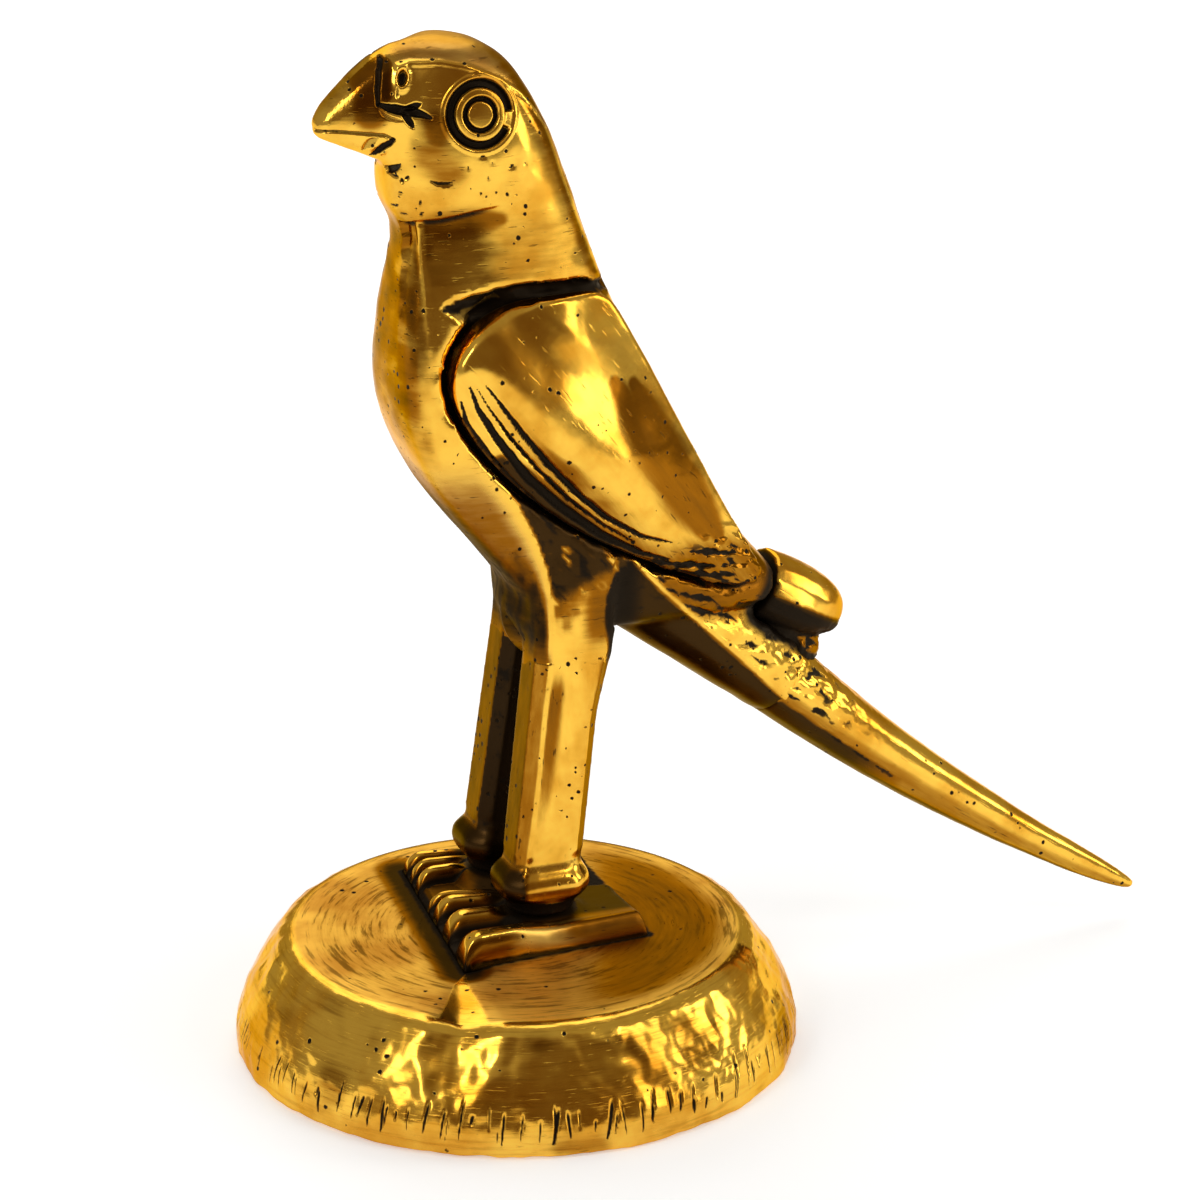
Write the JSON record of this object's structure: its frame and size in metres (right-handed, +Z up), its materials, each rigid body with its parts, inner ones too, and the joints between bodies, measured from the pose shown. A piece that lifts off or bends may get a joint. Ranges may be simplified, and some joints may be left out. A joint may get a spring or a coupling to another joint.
{
  "type": "bird figurine",
  "caption": "Cast brass falcon with folded wings, faceted legs and a long spike tail, standing on a round domed base; a desk or shelf ornament.",
  "frame": {"origin": "on the base's turning axis, at the underside of the felt pad that it stands on", "axes": "+Z up along the base axis; the bird faces -Y and its tail points to +Y; +X is the bird's left side"},
  "size_m": [0.072, 0.1274, 0.1318],
  "materials": {
    "bird_brass": "polished cast brass with dark patina in the recesses",
    "base_brass": "brushed and polished brass with dark chisel marks",
    "steel": "plain zinc-plated steel",
    "felt": "dark green wool felt"
  },
  "bodies": {
    "root": {"base": "base_brass", "felt_pad": "felt", "feet_block": "bird_brass", "left_leg": "bird_brass", "right_leg": "bird_brass", "body": "bird_brass", "left_wing": "bird_brass", "right_wing": "bird_brass", "wing_tips": "bird_brass", "tail": "bird_brass", "left_stud": "steel", "right_stud": "steel", "left_washer": "steel", "right_washer": "steel", "left_nut": "steel", "right_nut": "steel"}
  },
  "joints": []
}
